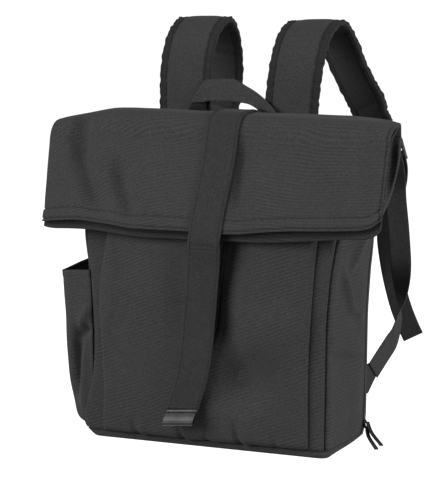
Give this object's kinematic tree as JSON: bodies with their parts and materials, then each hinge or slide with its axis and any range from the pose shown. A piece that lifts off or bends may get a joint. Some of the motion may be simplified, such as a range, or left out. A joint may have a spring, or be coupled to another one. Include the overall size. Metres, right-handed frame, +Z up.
{
  "type": "roll-top backpack",
  "caption": "Upright fabric backpack with a folded roll-top closed by a webbing strap and metal hook, a front zip pocket, a side bottle pocket, padded shoulder straps and a top handle.",
  "frame": {"origin": "centre of the flat bottom, on the surface the bag stands on", "axes": "+Z up, the front with its pocket and closing strap faces -Y, +X is to the right seen from the front"},
  "size_m": [0.3992, 0.2776, 0.477],
  "materials": {
    "body_cloth": "charcoal polyester twill, matt",
    "padded_cloth": "padded charcoal twill",
    "webbing": "woven webbing",
    "binding": "dark grosgrain edge binding",
    "zip_tape": "coil zip",
    "buckle_plastic": "moulded acetal",
    "hook_metal": "gunmetal plated sheet"
  },
  "bodies": {
    "root": {"bottom_panel": "body_cloth", "bottom_piping": "binding", "front_panel": "body_cloth", "side_panel_left": "body_cloth", "side_panel_right": "body_cloth", "laptop_zip": "zip_tape", "zip_strip_right": "body_cloth", "back_panel": "padded_cloth", "roll_top_outer": "body_cloth", "roll_top_inner": "body_cloth", "front_pocket": "body_cloth", "front_zip": "zip_tape", "side_pocket_left": "body_cloth", "closure_strap": "webbing", "strap_hook": "hook_metal", "top_handle": "webbing", "shoulder_strap_right": "padded_cloth", "shoulder_strap_left": "padded_cloth", "strap_binding_outer_right": "binding", "strap_binding_outer_left": "binding", "strap_binding_inner_right": "binding", "strap_binding_inner_left": "binding", "strap_tongue_right": "webbing", "strap_tongue_left": "webbing", "ladder_lock_right": "buckle_plastic", "ladder_lock_left": "buckle_plastic", "adjuster_webbing_right": "webbing", "adjuster_webbing_left": "webbing", "anchor_tab_right": "body_cloth", "anchor_tab_left": "body_cloth", "zip_slider_upper": "hook_metal", "zip_slider_lower": "hook_metal", "zip_pull_upper": "webbing", "zip_pull_lower": "webbing"}
  },
  "joints": []
}
